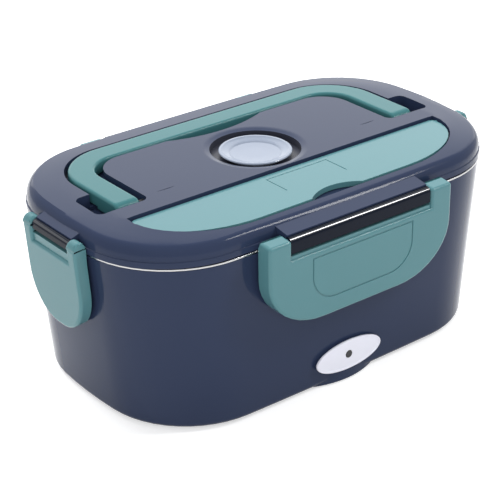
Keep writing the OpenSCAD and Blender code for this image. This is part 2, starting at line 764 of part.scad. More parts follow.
module lid_pockets(grow) {
    handle_channel(grow);
    handle_well(grow);
    grip_scoop(grow);
    cutlery_pocket(grow);
    vent_recess(grow);
}

long_bar_r = 2.8;
long_bar_down = 5;
short_bar_r = 2.2;
long_stub_r = 1.8;
short_stub_r = 1.4;
stub_l = 6.5;
short_stub_l = 4;

// Tab and bar on the lid that a latch hangs from, seen as on the front side; the tab's edge stands
// flap_up above the bar and flap_back behind its middle
flap_up = 0.8;
flap_back = 0.3;

module latch_mount(out, z, half, bar_r, bar_down, stub_r, stub, root) {
    translate([0, -out, z]) rod_x(-half - stub, half + stub, stub_r);
    translate([-half, 0, 0]) rotate([90, 0, 90]) linear_extrude(2 * half) {
        translate([-out, z]) circle(bar_r);
        translate([-out - bar_r, z - bar_down]) square([2 * bar_r, bar_down]);
        polygon([
            [-out + flap_back, z + bar_r + flap_up], [-root + 1.2, z + bar_r + flap_up + 1.5],
            [-root + 1.6, z + bar_r - 1], [-root + 1.2, z - 0.6], [-root, z - 1.6],
            [-out + 0.6, z - bar_r + 0.1], [-out + flap_back, z]
        ]);
    }
}

module lid_shell() color(navy) difference() {
    union() {
        difference() {
            lid_solid();
            difference() {
                lid_hollow();
                lid_pockets(pocket_t);
            }
        }
        for (a = [0, 180]) rotate(a)
            latch_mount(long_pivot_y, long_pivot_z, long_bar, long_bar_r, long_bar_down, long_stub_r, stub_l,
                lid_w / 2 - band_step);
        for (a = [90, -90]) rotate(a)
            latch_mount(short_pivot_x, short_pivot_z, short_bar, short_bar_r, short_bar_r, short_stub_r, short_stub_l,
                lid_l / 2 - band_step);
        translate([0, -pivot_y, pivot_z]) twins() rod_x(well_x0 - pin_boss_l, well_x0 - pocket_t / 2, pin_boss_r);
    }
    lid_pockets(0);
    translate([0, vent_y, 0]) cylinder(h = 2 * top_z, r = vent_hole_r);
    translate([0, -pivot_y, pivot_z]) twins()
        rod_x(well_x0 - pin_boss_l + 1, well_x0 + 1, handle_pin_r + fixed_clear);
    translate([0, -cover_pin_y, cover_pin_z])
        rod_x(-cover_x - cover_gap - 1.8, cover_x + cover_gap + 1.8, cover_pin_r + pin_clear);
}

inner_inset = lid_t + band_step + 0.3;
lip_inset = mouth + steel_t + 0.8;
lip_t = 1.6;
lip_z = flange_z - 2;
inner_top = seal_top + 1.4;

// Inner face of the lid: a rim over the seal and a shallow tub that dips into the container
module lid_inner() color(navy) difference() {
    union() {
        difference() {
            union() {
                slab(plan(lid_l, lid_w, inner_inset), seal_top, inner_top);
                slab(rim_plan(lip_inset), lip_z, inner_top);
            }
            slab(rim_plan(lip_inset + lip_t), lip_z + lip_t, inner_top + 1);
        }
        translate([0, vent_y, lip_z]) cylinder(h = vent_floor - pocket_t - seat_gap - lip_z, r = vent_hole_r + 1.6);
    }
    translate([0, vent_y, lip_z - 1]) cylinder(h = top_z, r = vent_hole_r);
    slab(cover_plan(pocket_t + 2 - cutlery_ledge), cutlery_floor - pocket_t - seat_gap, top_z);
}

module lid_seal() color(pale) difference() {
    slab(rim_plan(4), flange_top, seal_top);
    slab(rim_plan(lip_inset - 0.3), flange_top - 1, seal_top + 1);
}

module handle_pins() color(black) translate([0, -pivot_y, pivot_z]) twins()
    rod_x(well_x0 - pin_boss_l + 1.2, handle_x - pin_cap - 0.3, handle_pin_r);

// ---- Moving pieces on the lid --------------------------------------------------------

plug_top = top_z - 1.2;
plug_rim_t = 1;
plug_neck_r = plug_r - 3.5;
module vent_plug() color(pale) translate([0, vent_y, 0]) rotate_extrude($fn = 96) polygon([
    [0, lip_z], [stem_r, lip_z], [stem_r, vent_floor + seat_gap], [plug_neck_r, vent_floor + seat_gap],
    [plug_neck_r, plug_top - plug_rim_t - 0.8], [plug_r - 0.3, plug_top - plug_rim_t],
    [plug_r, plug_top - plug_rim_t + 0.3], [plug_r, plug_top - 0.4], [plug_r - 0.4, plug_top],
    [plug_r - 1.6, plug_top], [plug_r - 2.4, plug_top - 0.5], [plug_r - 5, plug_top - 1.2],
    [plug_r - 6, plug_top - 1.9], [plug_r - 10, plug_top - 2.1], [5, plug_top - 2.3], [0, plug_top - 2.3]
]);

edge = 1.6;
heel_y = 5;

// The handle's section, swept along its grip, its bends and its arms
module handle_bar() {
    x = handle_x - bend;
    y = handle_y - bend;
    reach = bend - bar_w / 2;
    translate([0, 0, handle_z + handle_t / 2]) {
        translate([-x, y + reach, 0]) rotate([90, 0, 90]) linear_extrude(2 * x) soft_rect(bar_w, handle_t, edge);
        twins() {
            translate([x, y, 0]) rotate_extrude(angle = 90) translate([reach, 0]) soft_rect(bar_w, handle_t, edge);
            translate([x + reach, y, 0]) rotate([90, 0, 0]) linear_extrude(y + pivot_y) soft_rect(bar_w, handle_t, edge);
        }
    }
}

module carry_handle() color(teal) difference() {
    union() {
        handle_bar();
        twins() translate([handle_x - bar_w / 2, 0, pivot_z]) {
            translate([0, -pivot_y, 0]) rotate([0, 90, 0]) rotate_extrude() intersection() {
                soft_rect(2 * eye_r, bar_w, edge);
                translate([0, -bar_w]) square(2 * bar_w);
            }
            translate([0, heel_y, 0]) rotate([90, 0, 0]) linear_extrude(pivot_y + heel_y)
                soft_rect(bar_w, 2 * eye_r, edge);
        }
    }
    translate([0, -pivot_y, pivot_z]) twins()
        rod_x(well_x0, handle_x - pin_cap, handle_pin_r + pin_clear);
}

notch_r = (notch_x * notch_x + notch_d * notch_d) / (2 * notch_d);
line_x = 19;
line_w = 0.4;
line_deep = 0.35;
line_y0 = -45;
line_y1 = -29;
module cover_lines() translate([0, line_y0, cover_top - line_deep]) {
    for (x = [-line_x, line_x]) translate([x - line_w / 2, 0, 0]) cube([line_w, line_y1 - line_y0, line_deep + 1]);
    translate([-line_x, line_y1 - line_y0 - line_w, 0]) cube([2 * line_x, line_w, line_deep + 1]);
}
module cutlery_cover() color(teal) {
    difference() {
        slab(cover_plan(0), cover_z0, cover_top);
        cover_lines();
        translate([0, -cover_front + notch_d - notch_r, cover_z0 - 1]) cylinder(h = cover_t + 2, r = notch_r, $fn = 96);
    }
    translate([0, -cover_pin_y, cover_pin_z]) twins()
        rod_x(cover_x - 1.5, cover_x + cover_gap + 1.4, cover_pin_r);
}

// ---- Latches -------------------------------------------------------------------------

side_gap = 0.4;
long_back = long_half_d + 0.6;
short_back = short_half_d - 0.6;
side_t = 2;
ledge_set = 1.3;
ear_up = 2;
ear_slope = 0.9;
long_ear = [
    [-long_half_d, ear_up], [long_half_d - 0.6, ear_up + ear_slope], [long_half_d, ear_up + ear_slope - 0.6],
    [long_half_d, 0]
];
short_ear_r = short_half_d - 0.1;
short_ear = [for (i = [0:8]) let (a = 160 - 20 * i) short_ear_r * [cos(a), sin(a)]];
groove_w = 0.8;
panel_half = 32;
panel_h = 24.5;
panel_down = 2.5;
panel_corner = [15, 14];

// Outline of a latch's face: half width, reach, and size of the round lower corners
function latch_outline(half, drop, cw, ch) = concat(
    [[half, 0]],
    [for (i = [0:10]) let (a = -i * 9) [half - cw + cw * cos(a), -drop + ch + ch * sin(a)]],
    [for (i = [0:10]) let (a = -90 - i * 9) [cw - half + cw * cos(a), -drop + ch + ch * sin(a)]],
    [[-half, 0]]);

// A latch about its pivot at the origin, hanging down, its face towards -Y. Its half depth is d, its side
// walls reach back behind the pivot, ear is the outline of its ears' tops, and its notch and the ledge behind that lie slot and ledge below it;
// corner is the size of the face's round lower corners, and hook the hook's place across and up
module latch(half, bar, drop, d, back, ear, slot, ledge, corner, stub_r, stub, hook, hook_half) {
    difference() {
        union() {
            difference() {
                wall_prism(-d, back) polygon(latch_outline(half, drop, corner[0], corner[1]));
                wall_prism(-d + latch_t, 2 * d)
                    polygon(latch_outline(half - side_t, drop - side_t, corner[0] - side_t, corner[1] - side_t));
                translate([-bar - side_gap, -2 * d, -slot]) cube([2 * (bar + side_gap), 4 * d, 2 * slot]);
            }
            translate([-bar - side_gap, -d + ledge_set, -slot - side_t])
                cube([2 * (bar + side_gap), latch_t, slot + side_t - ledge]);
            twins() translate([bar + side_gap, 0, 0]) rotate([90, 0, 90]) linear_extrude(half - bar - side_gap)
                polygon(concat([[-d, -slot]], ear, [[min(d, back), -slot]]));
            bead(hook_half, -d + latch_t / 2, hook[0], hook[1]);
        }
        rod_x(-bar - stub - 0.5, bar + stub + 0.5, stub_r + pin_clear);
    }
}

// Outline of the raised panel on a long latch, moved inwards by inset
module panel(inset) {
    translate([0, -long_slot - panel_down - inset]) polygon(latch_outline(
        panel_half - inset, panel_h - 2 * inset, panel_corner[0] - inset, panel_corner[1] - inset));
}

// Where the hook's centre lies from the pivot, before the latch leans by lean
function hook_place(across, lean) =
    [across * cos(lean) - hook_drop * sin(lean), -across * sin(lean) - hook_drop * cos(lean)];

hook_side = 2 * bead_r - catch_bite;
long_slot = 8;
long_ledge = 6.4;
long_corner = [33, 27];
short_slot = 8.4;
short_ledge = 4.4;
short_corner = [20, 24];
short_lean = 4;

module long_latch() color(teal) translate([0, -long_pivot_y, long_pivot_z]) difference() {
    latch(long_half, long_bar, long_drop, long_half_d, long_back, long_ear, long_slot, long_ledge, long_corner, long_stub_r, stub_l,
        hook_place(long_pivot_y - long_catch_y - hook_side, 0), catch_half_long);
    wall_prism(-2 * long_half_d, groove_w / 2 - long_half_d) difference() {
        panel(0);
        panel(groove_w);
    }
}

module short_latch() color(teal) translate([0, -short_pivot_x, short_pivot_z]) rotate([short_lean, 0, 0])
    latch(short_half, short_bar, short_drop, short_half_d, short_back, short_ear, short_slot, short_ledge, short_corner,
        short_stub_r, short_stub_l,
        hook_place(short_pivot_x - short_catch_x - hook_side, short_lean), catch_half_short);

module front_latch() long_latch();
module back_latch() rotate(180) long_latch();
module left_latch() rotate(-90) short_latch();
module right_latch() rotate(90) short_latch();

outer_shell();
bottom_cover();
bottom_screws();
feet();
inner_liner();
heater_plate();
ptc_heater();
heater_clamp();
plate_screws();
thermostat();
thermal_fuse();
power_inlet();
inlet_pins();
badge_plate();
indicator_lens();
indicator_board();
wiring();
steel_container();
inner_tray();
lid_shell();
lid_inner();
lid_seal();
handle_pins();
vent_plug();
carry_handle();
cutlery_cover();
front_latch();
back_latch();
left_latch();
right_latch();
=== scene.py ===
"""Looks of an electric lunch box: glossy moulded plastic, steel, rubber and a plain studio round it.

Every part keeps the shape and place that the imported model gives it. This script softens the parts' edges, gives
each its finish, and sets up the floor, the lamps and the camera.
"""

import math

import bpy
from bpy.props import FloatProperty, FloatVectorProperty, IntProperty, PointerProperty
from mathutils import Matrix, Vector


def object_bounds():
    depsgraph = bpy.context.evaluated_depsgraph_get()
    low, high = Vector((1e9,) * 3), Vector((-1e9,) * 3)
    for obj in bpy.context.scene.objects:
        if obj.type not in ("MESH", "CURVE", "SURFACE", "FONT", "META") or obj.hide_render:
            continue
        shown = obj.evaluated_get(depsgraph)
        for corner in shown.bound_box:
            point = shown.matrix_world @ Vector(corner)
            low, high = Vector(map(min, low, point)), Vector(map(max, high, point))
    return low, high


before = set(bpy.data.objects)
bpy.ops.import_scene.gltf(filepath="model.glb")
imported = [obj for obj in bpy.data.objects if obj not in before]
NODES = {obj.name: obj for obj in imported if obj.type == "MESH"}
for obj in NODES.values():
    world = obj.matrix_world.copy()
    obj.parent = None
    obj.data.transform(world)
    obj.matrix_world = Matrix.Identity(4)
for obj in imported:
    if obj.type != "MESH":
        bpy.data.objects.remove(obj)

bl_info = {
    "name": "Electric Lunch Box",
    "version": (1, 0, 0),
    "blender": (4, 5, 0),
    "location": "View3D > Sidebar > Lunch Box",
    "description": "Finishes the parts of an electric lunch box and sets up its studio",
    "category": "Object",
}

LOW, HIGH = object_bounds()
CENTRE = (Vector(LOW) + Vector(HIGH)) / 2

# Recess round the vent plug, whose faces get the darker inside plastic as painted shade: its middle, its radius
# and lowest height, and how far its bevel's foot lies below the model's top
VENT_Y = 0.0034
VENT_RECESS = 0.0238
VENT_LOW = 0.098
VENT_BEVEL_FOOT = 0.0022
# Bars that the latches hang from: distance out and height of the middle, half length, radius, depth below the
# middle, then the latches' half depth, lean and the half width of their raised panel
LONG_BAR = {
    "out": 0.0756, "z": 0.0935, "half": 0.044, "radius": 0.0028, "drop": 0.005, "depth": 0.004, "lean": 0.0,
    "panel": 0.0325,
}
SHORT_BAR = {
    "out": 0.1226, "z": 0.0942, "half": 0.0152, "radius": 0.0022, "drop": 0.0022, "depth": 0.0034, "lean": 4.0,
    "panel": 0.0,
}
# How much wider and longer than a bar the test for its points is
BAR_SLACK = 1.02
BAR_END_SLACK = 1.01
# A point of a long bar lies further out than this; a short one's doesn't
LONG_BAR_OUT = 0.07
# Angles above level, in degrees, between which a bar's round face gets the glossier band of painted highlight
HIGHLIGHT_BAND_FROM = 30.0
HIGHLIGHT_BAND_TO = 62.0
# Latch seen from its pivot: heights of the raised panel, slack of the outer face, foot and side of an ear, and
# the radius of the hole in it
PANEL_LOW = -0.036
PANEL_TOP = -0.0082
FACE_SLACK = 0.00002
EAR_FOOT = 0.0005
EAR_SIDE = 0.0002
EAR_HOLE = 0.0019
# Each latch's turn from the front side, and its bar
LATCHES = {
    "front_latch": (0.0, LONG_BAR), "back_latch": (180.0, LONG_BAR),
    "left_latch": (-90.0, SHORT_BAR), "right_latch": (90.0, SHORT_BAR),
}


# Angles between faces, in degrees, from which an edge is rounded: on most parts, on drawn parts and on tubes
SHARP = 28.0
DRAWN_SHARP = 40.0
TUBE_SHARP = 50.0
# Distance in metres within which the model's split faces are joined, and the angle in degrees of one flat face
JOIN_DISTANCE = 0.000002
FLAT_ANGLE = 0.15

FLOOR_GREY = 0.8
FLOOR_GLOW = 0.5


# ---- Settings ------------------------------------------------------------------------


def colour(name, description, default):
    return FloatVectorProperty(
        name=name, description=description, subtype="COLOR", size=3, min=0.0, max=1.0, default=default
    )


class LunchBoxColours(bpy.types.PropertyGroup):
    body: colour("Body", "Glossy plastic of the tub and the lid", (0.026, 0.038, 0.080))
    accent: colour("Accent", "Glossy plastic of the latches, handle and cutlery cover", (0.086, 0.218, 0.242))
    # Near-black bar colour: painted dark reflection, since the bars are the lid's navy plastic
    bar: colour("Bar", "Polished dark plastic of the bars that the latches hang from", (0.004, 0.007, 0.016))
    handle: colour("Handle", "Glossy plastic of the carry handle", (0.046, 0.160, 0.172))
    badge: colour("Badge", "Grained pale plastic of the badge", (0.81, 0.815, 0.91))
    light: colour("Light", "Plastic of the vent plug and the thermal fuse", (0.242, 0.282, 0.362))
    # The inside colour is also painted into the vent plug's recess as painted shade
    inside: colour("Inside", "Satin plastic of the well, the bottom and the lid's inner face", (0.030, 0.033, 0.05))
    tray: colour("Tray", "Plastic of the loose tray", (0.45, 0.52, 0.58))
    steel: colour("Steel", "Stainless steel of the container", (0.46, 0.46, 0.47))


class LunchBoxEdges(bpy.types.PropertyGroup):
    body: FloatProperty(
        name="Body edges", description="Edge rounding of the tub and lid", default=0.0005, unit="LENGTH"
    )
    accent: FloatProperty(
        name="Accent edges", description="Edge rounding of latches and cover", default=0.0006, unit="LENGTH"
    )
    latch: FloatProperty(
        name="Latch edges", description="Edge rounding of the latches' outline", default=0.0014, unit="LENGTH"
    )
    small: FloatProperty(
        name="Small edges", description="Edge rounding of small inner parts", default=0.0002, unit="LENGTH"
    )
    steps: IntProperty(name="Steps", description="Faces across a rounded edge", default=3, min=1, max=6)


class LunchBoxStudio(bpy.types.PropertyGroup):
    azimuth: FloatProperty(
        name="Azimuth", description="Camera's turn from the front", default=math.radians(-37.95),
        subtype="ANGLE",
    )
    elevation: FloatProperty(
        name="Elevation", description="Camera's height angle", default=math.radians(26.85), subtype="ANGLE"
    )
    roll: FloatProperty(name="Roll", description="Camera's tilt", default=math.radians(0.78), subtype="ANGLE")
    distance: FloatProperty(
        name="Distance", description="Camera to the middle of the box", default=0.81345, unit="LENGTH"
    )
    lens: FloatProperty(name="Lens", description="Focal length in millimetres", default=113.05, min=10.0)
    world_strength: FloatProperty(name="World", description="Light from all round", default=0.42, min=0.0)
    key_strength: FloatProperty(name="Key", description="Lamp at the front left, watts", default=8.5, min=0.0)
    top_strength: FloatProperty(name="Top", description="Lamp overhead, in watts", default=27.0, min=0.0)
    card_strength: FloatProperty(name="Card", description="Bright card behind, in watts", default=11.0, min=0.0)
    strip_strength: FloatProperty(name="Strip", description="Strip at the right, in watts", default=7.0, min=0.0)


def colours():
    return bpy.context.scene.lunch_box_colours


def edges():
    return bpy.context.scene.lunch_box_edges


def studio():
    return bpy.context.scene.lunch_box_studio


# ---- Shader effects ------------------------------------------------------------------


def group_socket(group, name, direction, kind, default=None):
    socket = group.interface.new_socket(name=name, in_out=direction, socket_type=kind)
    if default is not None:
        socket.default_value = default
    return socket


def moulding_group():
    """Shader group for moulded plastic: slow colour drift, uneven gloss and a faint surface wave."""
    name = "Moulded Surface"
    if name in bpy.data.node_groups:
        return bpy.data.node_groups[name]
    group = bpy.data.node_groups.new(name, "ShaderNodeTree")
    group_socket(group, "Colour", "INPUT", "NodeSocketColor", (0.5, 0.5, 0.5, 1.0))
    group_socket(group, "Colour Drift", "INPUT", "NodeSocketFloat", 0.04)
    group_socket(group, "Roughness", "INPUT", "NodeSocketFloat", 0.2)
    group_socket(group, "Roughness Drift", "INPUT", "NodeSocketFloat", 0.03)
    group_socket(group, "Grain Scale", "INPUT", "NodeSocketFloat", 900.0)
    group_socket(group, "Colour", "OUTPUT", "NodeSocketColor")
    group_socket(group, "Roughness", "OUTPUT", "NodeSocketFloat")
    group_socket(group, "Height", "OUTPUT", "NodeSocketFloat")
    nodes, link = group.nodes, group.links.new
    given = nodes.new("NodeGroupInput")
    result = nodes.new("NodeGroupOutput")
    place = nodes.new("ShaderNodeTexCoord")

    slow = nodes.new("ShaderNodeTexNoise")
    slow.inputs["Scale"].default_value = 18.0
    slow.inputs["Detail"].default_value = 3.0
    link(place.outputs["Object"], slow.inputs["Vector"])
    centred = nodes.new("ShaderNodeMath")
    centred.operation = "SUBTRACT"
    centred.inputs[1].default_value = 0.5
    link(slow.outputs["Fac"], centred.inputs[0])

    drift = nodes.new("ShaderNodeMath")
    drift.operation = "MULTIPLY"
    link(centred.outputs[0], drift.inputs[0])
    link(given.outputs["Colour Drift"], drift.inputs[1])
    level = nodes.new("ShaderNodeMath")
    level.operation = "ADD"
    level.inputs[1].default_value = 1.0
    link(drift.outputs[0], level.inputs[0])
    tinted = nodes.new("ShaderNodeHueSaturation")
    link(given.outputs["Colour"], tinted.inputs["Color"])
    link(level.outputs[0], tinted.inputs["Value"])
    link(tinted.outputs["Color"], result.inputs["Colour"])

    fine = nodes.new("ShaderNodeTexNoise")
    fine.inputs["Detail"].default_value = 2.0
    link(place.outputs["Object"], fine.inputs["Vector"])
    link(given.outputs["Grain Scale"], fine.inputs["Scale"])
    link(fine.outputs["Fac"], result.inputs["Height"])

    uneven = nodes.new("ShaderNodeMath")
    uneven.operation = "MULTIPLY_ADD"
    link(centred.outputs[0], uneven.inputs[0])
    link(given.outputs["Roughness Drift"], uneven.inputs[1])
    link(given.outputs["Roughness"], uneven.inputs[2])
    link(uneven.outputs[0], result.inputs["Roughness"])
    return group


def surface(name, base, roughness, drift, grain_scale, grain_height, roughness_drift=0.03, **shader_values):
    """Material with the moulded effect; shader_values are set on the shader's own sockets."""
    if name in bpy.data.materials:
        return bpy.data.materials[name]
    material = bpy.data.materials.new(name)
    material.use_nodes = True
    tree = material.node_tree
    shader = tree.nodes["Principled BSDF"]
    effect = tree.nodes.new("ShaderNodeGroup")
    effect.node_tree = moulding_group()
    effect.inputs["Colour"].default_value = (*base, 1.0)
    effect.inputs["Colour Drift"].default_value = drift
    effect.inputs["Roughness"].default_value = roughness
    effect.inputs["Roughness Drift"].default_value = roughness_drift
    effect.inputs["Grain Scale"].default_value = grain_scale
    bump = tree.nodes.new("ShaderNodeBump")
    bump.inputs["Strength"].default_value = 0.5
    bump.inputs["Distance"].default_value = grain_height
    tree.links.new(effect.outputs["Colour"], shader.inputs["Base Color"])
    tree.links.new(effect.outputs["Roughness"], shader.inputs["Roughness"])
    tree.links.new(effect.outputs["Height"], bump.inputs["Height"])
    tree.links.new(bump.outputs["Normal"], shader.inputs["Normal"])
    for socket, value in shader_values.items():
        shader.inputs[socket.replace("_", " ")].default_value = value
    material.diffuse_color = (*base, 1.0)
    return material


def body_plastic():
    return surface("Body Plastic", colours().body, 0.1, 0.05, 700.0, 0.000004, Specular_IOR_Level=0.12)


def accent_plastic():
    return surface("Accent Plastic", colours().accent, 0.17, 0.05, 700.0, 0.000004, Specular_IOR_Level=0.22)


def handle_plastic():
    return surface("Handle Plastic", colours().handle, 0.17, 0.05, 700.0, 0.000004, Specular_IOR_Level=0.14)


# Near-black bar finish: painted dark reflection on what is the lid's navy plastic
def bar_dark_reflection_paint():
    return surface("Bar Painted Dark Reflection", colours().bar, 0.08, 0.05, 700.0, 0.000003, Specular_IOR_Level=0.08)


# The bar colour with a glossier band, placed where the strip lamp's reflection falls: painted highlight
def bar_painted_highlight():
    return surface("Bar Painted Highlight", colours().bar, 0.08, 0.05, 700.0, 0.000003, Specular_IOR_Level=1.0)


def badge_plastic():
    return surface("Badge Plastic", colours().badge, 0.38, 0.03, 2600.0, 0.00006)


def light_plastic():
    return surface("Light Plastic", colours().light, 0.16, 0.03, 700.0, 0.000004, Specular_IOR_Level=0.35)


# Also used as painted shade in the vent plug's recess
def inside_plastic_and_recess_shade():
    return surface("Inside Plastic And Recess Shade", colours().inside, 0.42, 0.06, 1400.0, 0.00002)


def tray_plastic():
    return surface("Tray Plastic", colours().tray, 0.35, 0.03, 1100.0, 0.00001)


def container_steel():
    return surface("Container Steel", colours().steel, 0.24, 0.04, 2200.0, 0.000006, 0.08, Metallic=1.0)


def screw_steel():
    return surface("Screw Steel", (0.52, 0.52, 0.53), 0.33, 0.06, 2600.0, 0.00001, 0.08, Metallic=1.0)


def cast_aluminium():
    return surface("Cast Aluminium", (0.62, 0.63, 0.64), 0.38, 0.06, 1500.0, 0.00003, 0.1, Metallic=1.0)


def black_plastic():
    return surface("Black Plastic", (0.014, 0.014, 0.016), 0.34, 0.08, 1300.0, 0.00001)


def foot_rubber():
    return surface("Foot Rubber", (0.022, 0.022, 0.023), 0.75, 0.12, 1800.0, 0.00005)


def seal_rubber():
    return surface("Seal Rubber", (0.62, 0.63, 0.66), 0.5, 0.03, 1500.0, 0.00002)


def heater_film():
    return surface("Heater Film", (0.48, 0.27, 0.07), 0.3, 0.1, 500.0, 0.00005)


def board_lacquer():
    return surface("Board Lacquer", (0.02, 0.14, 0.05), 0.35, 0.15, 900.0, 0.00003)


def wire_sleeve():
    return surface("Wire Sleeve", (0.32, 0.02, 0.02), 0.45, 0.06, 1500.0, 0.00001)


# ---- Shapes --------------------------------------------------------------------------


def add_edges(piece, width, angle=SHARP, outline=0.0):
    """Modifiers that join a part's faces and round its sharp edges, the marked ones wider."""
    for polygon in piece.data.polygons:
        polygon.use_smooth = True
    weld = piece.modifiers.new("Join Faces", "WELD")
    weld.merge_threshold = JOIN_DISTANCE
    flat = piece.modifiers.new("Merge Flats", "DECIMATE")
    flat.decimate_type = "DISSOLVE"
    flat.angle_limit = math.radians(FLAT_ANGLE)
    flat.delimit = {"MATERIAL"}
    if outline:
        wide = piece.modifiers.new("Round Outline", "BEVEL")
        wide.width = outline
        wide.segments = edges().steps + 1
        wide.limit_method = "WEIGHT"
        wide.harden_normals = True
        wide.use_clamp_overlap = False
    bevel = piece.modifiers.new("Round Edges", "BEVEL")
    bevel.width = width
    bevel.segments = edges().steps
    bevel.limit_method = "ANGLE"
    bevel.angle_limit = math.radians(angle)
    bevel.harden_normals = True
    bevel.use_clamp_overlap = True
    bevel.miter_outer = "MITER_ARC"
    even = piece.modifiers.new("Even Shading", "WEIGHTED_NORMAL")
    even.keep_sharp = True


def clear_normals(piece):
    if piece.data.has_custom_normals:
        with bpy.context.temp_override(object=piece, active_object=piece, selected_objects=[piece]):
            bpy.ops.mesh.customdata_custom_splitnormals_clear()


def paint(piece, material, inside):
    """Gives a second finish to the faces whose centre is inside."""
    piece.data.materials.append(material)
    last = len(piece.data.materials) - 1
    turn = piece.matrix_world
    for polygon in piece.data.polygons:
        if inside(turn @ polygon.center):
            polygon.material_index = last


def mark_outline(piece, inside):
    """Marks the edges between faces, with both ends inside, for the wide rounding."""
    mesh = piece.data
    turn = piece.matrix_world
    uses = [0] * len(mesh.edges)
    for loop in mesh.loops:
        uses[loop.edge_index] += 1
    near = [inside(turn @ vertex.co) for vertex in mesh.vertices]
    weights = mesh.attributes.new("bevel_weight_edge", "FLOAT", "EDGE")
    borders = [edge for edge in mesh.edges if uses[edge.index] == 1]
    chosen = [edge.index for edge in borders if all(near[vertex] for vertex in edge.vertices)]
    if not chosen:
        raise RuntimeError(f"{piece.name} has no outline")
    for index in chosen:
        weights.data[index].value = 1.0


def dress(node, material, width, angle=SHARP, outline=0.0):
    """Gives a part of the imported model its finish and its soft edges."""
    if node not in NODES:
        raise RuntimeError(f"the model has no part named {node}")
    piece = NODES[node]
    clear_normals(piece)
    piece.data.materials.clear()
    piece.data.materials.append(material)
    add_edges(piece, width, angle, outline)
    return piece


# ---- Operators -----------------------------------------------------------------------


class FinishBody(bpy.types.Operator):
    """Finish the tub, its bottom cover, feet and screws"""

    bl_idname = "lunch_box.finish_body"
    bl_label = "Body"

    def execute(self, context):
        dress("outer_shell", body_plastic(), edges().body)
        dress("bottom_cover", inside_plastic_and_recess_shade(), edges().body)
        dress("inner_liner", inside_plastic_and_recess_shade(), edges().body)
        dress("feet", foot_rubber(), edges().body)
        dress("bottom_screws", screw_steel(), edges().small)
        return {"FINISHED"}


class FinishBadge(bpy.types.Operator):
    """Finish the badge plate and its indicator"""

    bl_idname = "lunch_box.finish_badge"
    bl_label = "Badge"

    def execute(self, context):
        dress("badge_plate", badge_plastic(), edges().small)
        dress("indicator_lens", black_plastic(), edges().small)
        return {"FINISHED"}


class FinishHeater(bpy.types.Operator):
    """Finish the heater, its safety parts, the wiring and the power inlet"""

    bl_idname = "lunch_box.finish_heater"
    bl_label = "Heater"

    def execute(self, context):
        small = edges().small
        dress("heater_plate", cast_aluminium(), small)
        dress("ptc_heater", heater_film(), small)
        dress("heater_clamp", screw_steel(), small)
        dress("plate_screws", screw_steel(), small)
        dress("thermostat", black_plastic(), small)
        dress("thermal_fuse", light_plastic(), small)
        dress("indicator_board", board_lacquer(), small)
        dress("wiring", wire_sleeve(), small, TUBE_SHARP)
        dress("power_inlet", black_plastic(), small)
        dress("inlet_pins", screw_steel(), small)
        return {"FINISHED"}


class FinishContainer(bpy.types.Operator):
    """Finish the steel container and the loose tray"""

    bl_idname = "lunch_box.finish_container"
    bl_label = "Container"

    def execute(self, context):
        dress("steel_container", container_steel(), edges().small, DRAWN_SHARP)
        dress("inner_tray", tray_plastic(), edges().body, DRAWN_SHARP)
        return {"FINISHED"}


def on_latch_bar(point):
    """Whether a point of the lid lies on one of the bars that the latches hang from."""
    for along, out, bar in ((point.x, abs(point.y), LONG_BAR), (point.y, abs(point.x), SHORT_BAR)):
        across, up = out - bar["out"], point.z - bar["z"]
        reach = bar["radius"] * BAR_SLACK
        round_part = math.hypot(across, up) < reach
        low_part = abs(across) < reach and -bar["drop"] * BAR_SLACK < up < 0
        if abs(along) < bar["half"] * BAR_END_SLACK and (round_part or low_part):
            return True
    return False


def on_bar_highlight_band(point):
    """Whether a point lies on the band of a bar's upper edge that gets the painted highlight."""
    if not on_latch_bar(point):
        return False
    long_one = abs(point.x) < LONG_BAR["half"] * BAR_END_SLACK and abs(point.y) > LONG_BAR_OUT
    bar, out = (LONG_BAR, abs(point.y)) if long_one else (SHORT_BAR, abs(point.x))
    return HIGHLIGHT_BAND_FROM < math.degrees(math.atan2(point.z - bar["z"], out - bar["out"])) < HIGHLIGHT_BAND_TO


def in_shaded_vent_recess(point):
    """Whether a point of the lid lies in the recess round the vent plug, below its bevel, which gets painted shade.
    """
    within = math.hypot(point.x, point.y - VENT_Y) < VENT_RECESS
    return within and VENT_LOW < point.z < HIGH[2] - VENT_BEVEL_FOOT


class FinishLid(bpy.types.Operator):
    """Finish the lid, its inner face, its seal and the handle's pins"""

    bl_idname = "lunch_box.finish_lid"
    bl_label = "Lid"

    def execute(self, context):
        lid = dress("lid_shell", body_plastic(), edges().body)
        # The bars get the near-black finish as painted dark reflection
        paint(lid, bar_dark_reflection_paint(), on_latch_bar)
        # The bars' upper band gets the glossier finish as painted highlight
        paint(lid, bar_painted_highlight(), on_bar_highlight_band)
        # The vent plug's recess gets the darker inside plastic as painted shade
        paint(lid, inside_plastic_and_recess_shade(), in_shaded_vent_recess)
        dress("lid_inner", inside_plastic_and_recess_shade(), edges().body)
        dress("lid_seal", seal_rubber(), edges().small)
        dress("handle_pins", black_plastic(), edges().small)
        return {"FINISHED"}


class FinishHandle(bpy.types.Operator):
    """Finish the carry handle and the cutlery cover"""

    bl_idname = "lunch_box.finish_handle"
    bl_label = "Handle and Cover"

    def execute(self, context):
        dress("carry_handle", handle_plastic(), edges().accent)
        dress("cutlery_cover", accent_plastic(), edges().accent)
        return {"FINISHED"}


class FinishVent(bpy.types.Operator):
    """Finish the steam vent plug"""

    bl_idname = "lunch_box.finish_vent"
    bl_label = "Vent Plug"

    def execute(self, context):
        dress("vent_plug", light_plastic(), edges().small)
        return {"FINISHED"}


